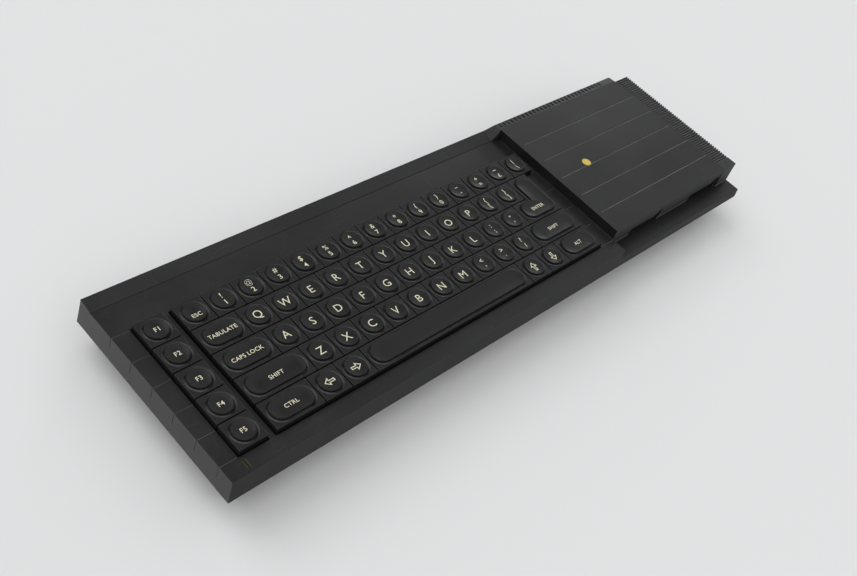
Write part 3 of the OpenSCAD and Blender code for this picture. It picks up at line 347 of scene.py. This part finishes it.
def key_plastic(name, base=0.008, rough=0.34):
    """Satin keys: finer grain, tops polished by fingers, dust in the sunk rings, a painted highlight on
    one side of each ring's slope, and pale edges that are partly wear and partly painted highlight.
    """
    n = Nodes(name)
    rounded = n.rounded(KEY_EDGE_MM)
    grain = n.noise(5200, 1.5)
    smudge = n.noise(55, 3, 0.6)
    up = n.facing_up()
    z = n.axis("Z")
    colour = n.mix(smudge, grey(base * 0.8, 0.04), grey(base * 1.3, 0.02))
    in_ring = n.between(z, PLATFORM_Z - RING_DUST[0], PLATFORM_Z - RING_DUST[1])
    dust = n.times(n.times(in_ring, up), n.ramp(n.noise(300, 3), 0.4, 0.75, 0.0, 0.1))
    colour = n.mix(dust, colour, DUST)
    specks = n.times(n.ramp(n.cells(520), 0.12, 0.04), n.ramp(n.noise(160, 2), 0.55, 0.7))
    colour = n.mix(n.times(n.times(specks, up), 0.35), colour, KEY_SPECK)
    # Paler edges: partly wear, partly a painted highlight where the edges catch light
    colour = n.mix(n.times(n.edge(rounded), 0.5), colour, KEY_EDGE_WEAR_AND_HIGHLIGHT)
    # A painted highlight on one side of each ring's slope, the side that faces the rear right
    slope = n.between(z, PLATFORM_Z - RING_SLOPE[0], PLATFORM_Z - RING_SLOPE[1])
    pale_mark = n.times(n.times(slope, n.turned_to(RING_HIGHLIGHT_SIDE)), n.ramp(n.noise(210, 3), 0.3, 0.6, 0.5, 1.0))
    colour = n.mix(pale_mark, colour, RING_SLOPE_HIGHLIGHT)
    top = n.math("GREATER_THAN", z, PLATFORM_Z - KEY_TOP_DROP)
    polish = n.times(top, n.ramp(n.noise(120, 2), 0.35, 0.65, 0.02, 0.09))
    roughness = n.math("SUBTRACT", n.ramp(smudge, 0.2, 0.8, rough, rough + 0.08), polish)
    n.set(Base_Color=colour, Roughness=roughness, Normal=n.bump(grain, 0.12, 0.04, rounded))
    n.shader.inputs["Specular IOR Level"].default_value = 0.36
    return n.material


def rubber(name, base):
    """Matt rubber with a coarse grain."""
    n = Nodes(name)
    grain = n.noise(2600, 3, 0.7)
    colour = n.mix(n.noise(140, 3), grey(base * 0.7), grey(base * 1.4))
    n.set(Base_Color=colour, Roughness=n.ramp(grain, 0.3, 0.7, 0.62, 0.85),
          Normal=n.bump(grain, 0.35, 0.08, n.rounded(0.5)))
    return n.material


def metal(name, colour, rough, brush=(1, 40, 1), edge_mm=0.2):
    """Plain sheet or turned metal with fine drawing marks and faint stains."""
    n = Nodes(name)
    marks = n.noise(180, 3, 0.6, brush)
    stain = n.noise(45, 3, 0.6)
    darker = tuple(c * 0.7 for c in colour[:3]) + (1,)
    n.set(Base_Color=n.mix(n.ramp(stain, 0.35, 0.75), colour, darker), Metallic=1.0,
          Roughness=n.ramp(marks, 0.3, 0.7, rough - 0.07, rough + 0.1),
          Normal=n.bump(marks, 0.12, 0.03, n.rounded(edge_mm)))
    return n.material


RESIST_DARK = (0.01, 0.075, 0.03, 1)
RESIST = (0.012, 0.09, 0.035, 1)
TRACE = (0.03, 0.17, 0.07, 1)
TIN = (0.62, 0.6, 0.55, 1)


def circuit_board(name):
    """Green board with paler copper traces under the resist and tinned pads."""
    n = Nodes(name)
    brick = n.node("TexBrick")
    n.link(n.coords, brick.inputs["Vector"])
    brick.inputs["Scale"].default_value = 90
    brick.inputs["Mortar Size"].default_value = 0.03
    for socket, shade in (("Color1", RESIST_DARK), ("Color2", RESIST), ("Mortar", TRACE)):
        brick.inputs[socket].default_value = shade
    pads = n.ramp(n.cells(260, 0.0), 0.2, 0.17)
    spots = n.times(pads, n.ramp(n.noise(60, 1), 0.52, 0.56))
    colour = n.mix(spots, brick.outputs["Color"], TIN)
    n.set(Base_Color=colour, Metallic=spots, Roughness=n.ramp(n.noise(300, 2), 0.3, 0.7, 0.28, 0.42),
          Normal=n.bump(n.plus(brick.outputs["Fac"], n.noise(900, 2)), 0.15, 0.05))
    return n.material


# Scale of the stripes that part the chips' legs
LEG_WAVES = 62
BETWEEN_LEGS = grey(0.03)
LEG_TIN = grey(0.62)


def chip_plastic(name, leg_top=None):
    """Moulded black packages; what lies below leg_top is tinned legs."""
    n = Nodes(name)
    grain = n.noise(2400, 2)
    colour = n.mix(n.noise(90, 3), grey(0.012), grey(0.024))
    if leg_top is not None:
        legs = n.math("LESS_THAN", n.axis("Z"), leg_top)
        gaps = n.node("TexWave", bands_direction="X")
        n.link(n.coords, gaps.inputs["Vector"])
        gaps.inputs["Scale"].default_value = LEG_WAVES
        shine = n.ramp(gaps.outputs["Fac"], 0.45, 0.55)
        colour = n.mix(legs, colour, n.mix(shine, BETWEEN_LEGS, LEG_TIN))
        n.set(Metallic=n.times(legs, shine))
    n.set(Base_Color=colour, Roughness=n.ramp(grain, 0.3, 0.7, 0.4, 0.58),
          Normal=n.bump(grain, 0.2, 0.05, n.rounded(0.2)))
    return n.material


def tinted_lens(name, colour, rim=None, centre=(0, 0), half=(0, 0)):
    """A coloured lens; rim gives the colour of its outline, half the outline's reach from centre."""
    n = Nodes(name)
    shade = n.mix(n.noise(700, 2), colour, tuple(c * 0.6 for c in colour[:3]) + (1,))
    if rim:
        across, along = (
            n.math("DIVIDE", n.math("ABSOLUTE", n.math("SUBTRACT", n.axis(axis), middle)), reach)
            for axis, middle, reach in zip("XY", centre, half))
        border = n.math("MAXIMUM", n.ramp(across, 0.5, 0.62), n.ramp(along, 0.8, 0.86))
        shade = n.mix(border, shade, rim)
    n.set(Base_Color=shade, Roughness=0.22, Normal=n.bump(n.noise(500, 2), 0.06, 0.05))
    n.shader.inputs["Coat Weight"].default_value = 0.3
    return n.material


GRUBBY_YELLOW = (0.2, 0.16, 0.05, 1)
# The sticker's rim grows grubby between these distances from its middle
GRUBBY_FROM, GRUBBY_TO = 2.3 * MM, 3.5 * MM


def printed_paper(name, colour):
    """A paper sticker, a little faded and grubby round its edge."""
    n = Nodes(name)
    low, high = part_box("yellow_sticker")
    middle = (low + high) / 2
    offset = n.node("VectorMath", operation="DISTANCE")
    n.link(n.coords, offset.inputs[0])
    offset.inputs[1].default_value = middle
    rim = n.ramp(offset.outputs["Value"], GRUBBY_FROM, GRUBBY_TO)
    dirt = n.times(n.plus(rim, n.ramp(n.noise(600, 3), 0.5, 0.7, 0, 0.5)), 0.45)
    n.set(Base_Color=n.mix(dirt, colour, GRUBBY_YELLOW), Roughness=0.55,
          Normal=n.bump(n.noise(2500, 2), 0.2, 0.04))
    return n.material


def ink(name, colour):
    """The cream print of the key legends, worn thin in places."""
    n = Nodes(name)
    thin = n.ramp(n.noise(1500, 3, 0.7), 0.62, 0.8, 0.0, 0.45)
    n.set(Base_Color=n.mix(thin, colour, grey(0.12)), Roughness=0.5)
    return n.material


TRACK_WAVES = 90
TRACK = grey(0.16)


def clear_film(name, colour):
    """Pale plastic film with printed tracks."""
    n = Nodes(name)
    tracks = n.node("TexWave", bands_direction="X")
    n.link(n.coords, tracks.inputs["Vector"])
    tracks.inputs["Scale"].default_value = TRACK_WAVES
    lines = n.ramp(tracks.outputs["Fac"], 0.55, 0.65)
    n.set(Base_Color=n.mix(lines, colour, TRACK), Roughness=0.25,
          Normal=n.bump(n.noise(120, 2), 0.1, 0.1))
    return n.material


# Marks that are the same in every direction, on metal that isn't brushed
EVEN = (1, 1, 1)
CREAM = (0.72, 0.68, 0.5, 1)
# How far the chips' legs show above the board
CHIP_LEGS = 0.8 * MM
# How far the power lamp's middle lies from its rear edge, and the reach of its outline
LAMP_BACK = 2.8 * MM
LAMP_REACH = (1.4 * MM, 3.2 * MM)
case_plastic = moulded_plastic("case_plastic", 0.0095, 0.31, lines=((DECK_Z, 0.15), (TOP_Z, 0.34)))
tray_plastic = moulded_plastic("tray_plastic", 0.0075, 0.46, dust=0.2)
inner_plastic = moulded_plastic("inner_plastic", 0.006, 0.5, grain_mm=0.6, dust=0.1, edge_mm=0.25)
keys_plastic = key_plastic("keys_plastic")
socket_plastic = moulded_plastic("socket_plastic", 0.008, 0.3, grain_mm=0.2, dust=0.1, edge_mm=0.2)
connector_plastic = moulded_plastic("connector_plastic", 0.03, 0.4, grain_mm=0.3, dust=0.1, edge_mm=0.2)
foot_rubber = rubber("foot_rubber", 0.02)
mat_rubber = rubber("mat_rubber", 0.12)
roller_rubber = rubber("roller_rubber", 0.03)
zinc_steel = metal("zinc_steel", (0.56, 0.56, 0.55, 1), 0.36, EVEN)
sheet_aluminium = metal("sheet_aluminium", (0.74, 0.75, 0.76, 1), 0.38)
gold = metal("gold", (0.83, 0.62, 0.27, 1), 0.28, EVEN, 0.1)
board_green = circuit_board("board_green")
chip_black = chip_plastic("chip_black", BOARD_TOP + CHIP_LEGS)
part_black = chip_plastic("part_black")
blue_sleeve = moulded_plastic("blue_sleeve", 0.03, 0.3, dust=0.0, edge_mm=0.6, wear=0)
film = clear_film("film", (0.45, 0.47, 0.44, 1))
lamp_low, lamp_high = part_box("power_lamp")
lamp_lens = tinted_lens("lamp_lens", (0.012, 0.012, 0.006, 1), rim=(0.075, 0.07, 0.014, 1),
                        centre=((lamp_low.x + lamp_high.x) / 2, lamp_high.y - LAMP_BACK),
                        half=LAMP_REACH)
red_lens = tinted_lens("red_lens", (0.07, 0.006, 0.006, 1))
sticker_yellow = printed_paper("sticker_yellow", (0.62, 0.48, 0.09, 1))
legend_ink = ink("legend_ink", CREAM)

# What each node is made of; the keys and the reset button, which aren't here, are of keys_plastic
LOOKS = {
    case_plastic: ["upper_case"],
    tray_plastic: ["lower_case", "left_cover", "right_cover", "rom_cover"],
    inner_plastic: ["keyboard_frame", "drive_frame_1", "drive_frame_2"],
    socket_plastic: ["network_jacks", "power_inlet", "monitor_socket", "serial_sockets"],
    connector_plastic: ["rom_connector", "expansion_connector"],
    foot_rubber: ["rubber_feet"],
    mat_rubber: ["rubber_mat"],
    roller_rubber: ["capstan_1", "capstan_2"],
    zinc_steel: ["screws", "drive_motors", "drive_heads", "aerial_modulator"],
    sheet_aluminium: ["keyboard_backplate", "heat_sink"],
    board_green: ["main_board"],
    chip_black: ["processor", "custom_chips", "memory_chips"],
    part_black: ["regulator", "sounder", "reset_switch"],
    blue_sleeve: ["capacitors"],
    film: ["membrane", "keyboard_tails"],
    lamp_lens: ["power_lamp"],
    red_lens: ["drive_lamps"],
    sticker_yellow: ["yellow_sticker"],
}
look_of = {name: material for material, names in LOOKS.items() for name in names}


def dress_nodes():
    for name, obj in nodes.items():
        material = look_of.get(name, keys_plastic)
        obj.data.materials.clear()
        obj.data.materials.append(material)


# ---------------------------------------------------------------- key legends

# How much the strokes are widened, as a share of the height: of large letters, of small ones, and
# of the signs with fine gaps
LARGE_STROKE = -0.004
SMALL_STROKE = 0.012
SIGN_STROKE = {"@": -0.022, "&": 0, "#": 0, "%": 0}
LETTER_MM = 5.2
SMALL_MM = 3.4
WORD_MM = 2.55
FUNCTION_MM = 2.8
# How far behind a key's middle the upper and the lower of two signs lie, and the escape key's word
UPPER_MM, LOWER_MM = 2.6, -2.5
ESC_MM = -2.2
# A capital's height in the font, as a share of its size
CAPITAL = 0.7
SPACING = 1.06
CURVE_STEPS = 3
# The hollow top's depth, and the half width over which it has that depth
DISH_MM = 0.6
DISH_EDGE_MM = 6.0
DISH_BALL = (DISH_EDGE_MM**2 + DISH_MM**2) / (2 * DISH_MM) * MM
LEGEND_LIFT = 0.035 * MM
# Edges longer than this are split, in so many rounds at most, so that a legend follows the hollow
COARSEST = 0.5 * MM
MOST_SPLITS = 3
# The least squared length of a middle line, so that one that is a point divides nothing by zero
TINY = 1e-12


# Each legend is a list of (text, size, x offset, y offset) in millimetres
def one(text):
    return [(text, LETTER_MM, 0, 0)]


def two(upper, lower):
    return [(upper, SMALL_MM, 0, UPPER_MM), (lower, SMALL_MM, 0, LOWER_MM)]


NUMBER_ROW = ["!1", "@2", "#3", "$4", "%5", "^6", "&7", "*8", "(9", ")0", "_-", "+=", "~£", "|\\"]
ROW_LEGENDS = {
    "number_row_keys": [two(*pair) for pair in NUMBER_ROW],
    "upper_row_keys": [one(c) for c in "QWERTYUIOP"] + [two("{", "["), two("}", "]")],
    "home_row_keys": [one(c) for c in "ASDFGHJKL"] + [two(":", ";"), two('"', "'")],
    "lower_row_keys": [one(c) for c in "ZXCVBNM"] + [two("<", ","), two(">", "."), two("?", "/")],
}
WORD_LEGENDS = {
    "esc_key": "ESC", "tab_key": "TABULATE", "caps_lock_key": "CAPS LOCK", "left_shift_key": "SHIFT",
    "ctrl_key": "CTRL", "alt_key": "ALT", "right_shift_key": "SHIFT",
    "f1_key": "F1", "f2_key": "F2", "f3_key": "F3", "f4_key": "F4", "f5_key": "F5",
}
ARROW_TURNS = {"right_arrow_key": 0, "up_arrow_key": 90, "left_arrow_key": 180, "down_arrow_key": 270}


def text_mesh(text, size_mm):
    """The text as a flat mesh, its middle at the origin."""
    curve = bpy.data.curves.new("text", "FONT")
    curve.body = text
    curve.size = size_mm * MM / CAPITAL
    curve.resolution_u = CURVE_STEPS
    usual = SMALL_STROKE if size_mm < LETTER_MM else LARGE_STROKE
    curve.offset = SIGN_STROKE.get(text, usual) * size_mm * MM
    curve.space_character = SPACING
    obj = bpy.data.objects.new("text", curve)
    mesh = bpy.data.meshes.new_from_object(obj)
    bpy.data.objects.remove(obj)
    bpy.data.curves.remove(curve)
    xs = [v.co.x for v in mesh.vertices]
    ys = [v.co.y for v in mesh.vertices]
    middle = Vector(((min(xs) + max(xs)) / 2, (min(ys) + max(ys)) / 2, 0))
    mesh.transform(Matrix.Translation(-middle))
    return mesh


# Outer and inner outline of an arrow that points right, in millimetres
ARROW_OUTER = [(-3.4, -0.95), (0.1, -0.95), (0.1, -2.7), (3.5, 0), (0.1, 2.7), (0.1, 0.95), (-3.4, 0.95)]
ARROW_INNER = [(-2.85, -0.42), (0.62, -0.42), (0.62, -1.6), (2.66, 0), (0.62, 1.6), (0.62, 0.42),
               (-2.85, 0.42)]


def arrow_mesh(turn_degrees):
    """An outlined arrow as a flat mesh."""
    count = len(ARROW_OUTER)
    verts = [(x * MM, y * MM, 0) for x, y in ARROW_OUTER + ARROW_INNER]
    faces = [(i, (i + 1) % count, (i + 1) % count + count, i + count) for i in range(count)]
    mesh = mesh_from("arrow", verts, faces)
    mesh.transform(Matrix.Rotation(math.radians(turn_degrees), 4, "Z"))
    return mesh


def dish_height(x, y, run):
    """Height of a platform's hollow top at x, y; run is the platform's middle line."""
    (ax, ay), (bx, by) = run
    squared = max((bx - ax) ** 2 + (by - ay) ** 2, TINY)
    along = min(max(((x - ax) * (bx - ax) + (y - ay) * (by - ay)) / squared, 0), 1)
    off = math.hypot(x - ax - along * (bx - ax), y - ay - along * (by - ay))
    return PLATFORM_Z - DISH_MM * MM + DISH_BALL - math.sqrt(max(DISH_BALL**2 - off**2, 0))


def lay_legend(flat, at, run, target):
    """Adds a flat mesh to target, laid on the hollow top at the point at."""
    flat.transform(Matrix.Translation((at[0], at[1], 0)))
    piece = bmesh.new()
    piece.from_mesh(flat)
    bmesh.ops.triangulate(piece, faces=piece.faces)
    for _ in range(MOST_SPLITS):
        long_edges = [e for e in piece.edges if e.calc_length() > COARSEST]
        if not long_edges:
            break
        bmesh.ops.subdivide_edges(piece, edges=long_edges, cuts=1)
        bmesh.ops.triangulate(piece, faces=piece.faces)
    for v in piece.verts:
        v.co.z = dish_height(v.co.x, v.co.y, run) + LEGEND_LIFT
    made = bpy.data.meshes.new("legend_piece")
    piece.to_mesh(made)
    piece.free()
    target.from_mesh(made)
    bpy.data.meshes.remove(made)
    bpy.data.meshes.remove(flat)


def lay_all(parts, centre, run, target):
    """Lays each text of a key's legend at its place from the key's centre."""
    for text, size, dx, dy in parts:
        at = (centre[0] + dx * MM, centre[1] + dy * MM)
        lay_legend(text_mesh(text, size), at, run, target)


def finish_legend(body, target):
    mesh = bpy.data.meshes.new("legend_" + body)
    target.to_mesh(mesh)
    target.free()
    piece = new_object("legend_" + body, mesh, legend_ink, body)


def key_run(low, high):
    """Middle line of the round top of a key with this box."""
    y = (low.y + high.y) / 2
    half = KEY_WIDTH / 2
    return (low.x + half, y), (high.x - half, y)


def middle_of(low, high):
    return (low.x + high.x) / 2, (low.y + high.y) / 2


def make_legends():
    for node, legends in ROW_LEGENDS.items():
        target = bmesh.new()
        low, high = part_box(node)
        y = (low.y + high.y) / 2
        for i, parts in enumerate(legends):
            x = low.x - KEY_GAP / 2 + (i + 0.5) * PITCH
            lay_all(parts, (x, y), ((x, y), (x, y)), target)
        finish_legend(node, target)
    for node, word in WORD_LEGENDS.items():
        target = bmesh.new()
        low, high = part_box(node)
        size = FUNCTION_MM if node.startswith("f") else WORD_MM
        behind = ESC_MM if node == "esc_key" else 0
        lay_all([(word, size, 0, behind)], middle_of(low, high), key_run(low, high), target)
        finish_legend(node, target)
    for node, turn in ARROW_TURNS.items():
        target = bmesh.new()
        low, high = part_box(node)
        lay_legend(arrow_mesh(turn), middle_of(low, high), key_run(low, high), target)
        finish_legend(node, target)
    # The word of the inverted L lies on its front half, which is one key deep
    low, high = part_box("enter_key")
    target = bmesh.new()
    y = low.y + KEY_WIDTH / 2
    run = key_run(low, Vector((high.x, 2 * y - low.y, high.z)))
    lay_all([("ENTER", WORD_MM, 0, 0)], ((run[0][0] + run[1][0]) / 2, y), run, target)
    finish_legend("enter_key", target)


# ---------------------------------------------------------------- small fittings

# Contacts of the two edge connectors: how far apart they are, how wide and how long, how much of the
# connector's length has none, and for each connector their thickness, the place of the first and
# the heights of the two rows above the board
EDGE_PITCH = 2.54 * MM
EDGE_W = 0.9 * MM
EDGE_L = 6 * MM
EDGE_BARE = 8 * MM
ROM_T, ROM_FIRST, ROM_ROWS = 0.35 * MM, 4.5 * MM, (4.25 * MM, 5.8 * MM)
EXPANSION_T, EXPANSION_FIRST, EXPANSION_ROWS = 0.4 * MM, 4.2 * MM, (2.1 * MM, 7.5 * MM)
# How far back from its mouth a contact starts
ROM_BACK = 6.4 * MM
EXPANSION_BACK = 0.4 * MM
# The serial sockets: how many there are, how far the outer ones' middles lie from the ends of the
# group, and the number, pitch, size, height and place of the wires in each
SERIAL_COUNT = 4
SERIAL_END = 7 * MM
WIRE_COUNT = 6
WIRE_PITCH = 1.3 * MM
WIRE_SIZE = (0.5 * MM, 6.6 * MM, 0.3 * MM)
WIRE_UP = 2.6 * MM
WIRE_BACK = 8.6 * MM


def box_into(target, x, y, z, size):
    """Adds a box of this size with its low corner at x, y, z."""
    low, high = (x, y, z), (x + size[0], y + size[1], z + size[2])
    made = bmesh.ops.create_cube(target, size=1.0)["verts"]
    bmesh.ops.scale(target, vec=[h - l for l, h in zip(low, high)], verts=made)
    bmesh.ops.translate(target, vec=[(h + l) / 2 for l, h in zip(low, high)], verts=made)


def finish_piece(name, target, material, body="case"):
    mesh = bpy.data.meshes.new(name)
    target.to_mesh(mesh)
    target.free()
    new_object(name, mesh, material, body)


def make_contacts():
    """Gold contacts inside the edge connectors and the serial sockets."""
    target = bmesh.new()
    low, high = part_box("rom_connector")
    for i in range(int((high.x - low.x - EDGE_BARE) / EDGE_PITCH)):
        for up in ROM_ROWS:
            box_into(target, low.x + ROM_FIRST + i * EDGE_PITCH, high.y - ROM_BACK, BOARD_TOP + up,
                     (EDGE_W, EDGE_L, ROM_T))
    low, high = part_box("expansion_connector")
    for i in range(int((high.y - low.y - EDGE_BARE) / EDGE_PITCH)):
        for up in EXPANSION_ROWS:
            box_into(target, low.x + EXPANSION_BACK, low.y + EXPANSION_FIRST + i * EDGE_PITCH,
                     BOARD_TOP + up, (EDGE_L, EDGE_W, EXPANSION_T))
    low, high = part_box("serial_sockets")
    spacing = (high.x - low.x - 2 * SERIAL_END) / (SERIAL_COUNT - 1)
    for socket in range(SERIAL_COUNT):
        centre = low.x + SERIAL_END + socket * spacing
        for i in range(WIRE_COUNT):
            x = centre + (i - (WIRE_COUNT - 1) / 2) * WIRE_PITCH
            box_into(target, x - WIRE_SIZE[0] / 2, high.y - WIRE_BACK, BOARD_TOP + WIRE_UP, WIRE_SIZE)
    finish_piece("socket_contacts", target, gold)


# ---------------------------------------------------------------- floor and light

FLOOR_HALF = 12
FLOOR_COLOUR = (0.78, 0.78, 0.785, 1)

# The room's strength over two ranges of height in the sky: from, to, and the strength at each
CEILING = (0.5, 0.7, 0.37, 0.66)
HORIZON = (0.05, 0.35, 0.35, 0.0)
ROOM_COLOUR = (0.99, 0.995, 1.0, 1)
# The dim corner of the room: its azimuth and elevation, and how far from its middle the room is
# plain and how far it is dim, all in degrees
DIM_CORNER = (70, 58)
DIM_OUTER, DIM_INNER = 23, 11
DIM_STRENGTH = 0.05
# Each far light's name, azimuth, elevation and spread in degrees, and strength
SUNS = (("window", 108, 52, 46, 0.85), ("front_fill", 215, 62, 90, 0.85), ("rim", 32, 10, 16, 0.25))


def make_stage():
    """A pale floor, so wide that its edge stays near the horizon."""
    n = Nodes("floor_paper")
    n.set(Base_Color=FLOOR_COLOUR, Roughness=0.9)
    n.shader.inputs["Specular IOR Level"].default_value = 0.1
    corners = [(x * FLOOR_HALF, y * FLOOR_HALF, 0) for x, y in ((-1, -1), (1, -1), (1, 1), (-1, 1))]
    floor = new_object("floor", mesh_from("floor", corners, [(0, 1, 2, 3)]), n.material)


def sky_direction(azimuth, elevation):
    turn, rise = math.radians(azimuth), math.radians(elevation)
    return Vector((math.cos(turn) * math.cos(rise), math.sin(turn) * math.cos(rise), math.sin(rise)))


def soft_sun(name, azimuth, elevation, spread, strength):
    """A far soft light, as wide in the sky as spread; the angles are in degrees."""
    data = bpy.data.lights.new(name, "SUN")
    data.angle = math.radians(spread)
    data.energy = strength
    light = bpy.data.objects.new(name, data)
    bpy.context.scene.collection.objects.link(light)
    light.rotation_euler = (-sky_direction(azimuth, elevation)).to_track_quat("-Z", "Y").to_euler()


def make_light():
    """A pale room with one dim corner, a soft window high behind, a fill and a low rim light."""
    world = bpy.data.worlds.new("room")
    bpy.context.scene.world = world
    world.use_nodes = True
    tree = world.node_tree
    background = tree.nodes["Background"]
    sky = tree.nodes.new("ShaderNodeTexCoord").outputs["Generated"]
    split = tree.nodes.new("ShaderNodeSeparateXYZ")
    tree.links.new(sky, split.inputs[0])
    near_corner = tree.nodes.new("ShaderNodeVectorMath")
    near_corner.operation = "DOT_PRODUCT"
    tree.links.new(sky, near_corner.inputs[0])
    near_corner.inputs[1].default_value = sky_direction(*DIM_CORNER)

    def ramp(value, *numbers):
        mapped = tree.nodes.new("ShaderNodeMapRange")
        mapped.interpolation_type = "SMOOTHSTEP"
        tree.links.new(value, mapped.inputs["Value"])
        for socket, number in zip(MAP_SOCKETS, numbers):
            mapped.inputs[socket].default_value = number
        return mapped.outputs["Result"]

    def math_node(operation, a, b):
        made = tree.nodes.new("ShaderNodeMath")
        made.operation = operation
        tree.links.new(a, made.inputs[0])
        tree.links.new(b, made.inputs[1])
        return made.outputs[0]

    corner = ramp(near_corner.outputs["Value"], math.cos(math.radians(DIM_OUTER)),
                  math.cos(math.radians(DIM_INNER)), 1.0, DIM_STRENGTH)
    ceiling = math_node("MULTIPLY", ramp(split.outputs["Z"], *CEILING), corner)
    strength = math_node("ADD", ceiling, ramp(split.outputs["Z"], *HORIZON))
    tree.links.new(strength, background.inputs["Strength"])
    background.inputs["Color"].default_value = ROOM_COLOUR
    for sun in SUNS:
        soft_sun(*sun)


make_camera()
make_stage()
make_light()
dress_nodes()
make_legends()
make_contacts()

bpy.context.scene.view_settings.view_transform = "Standard"
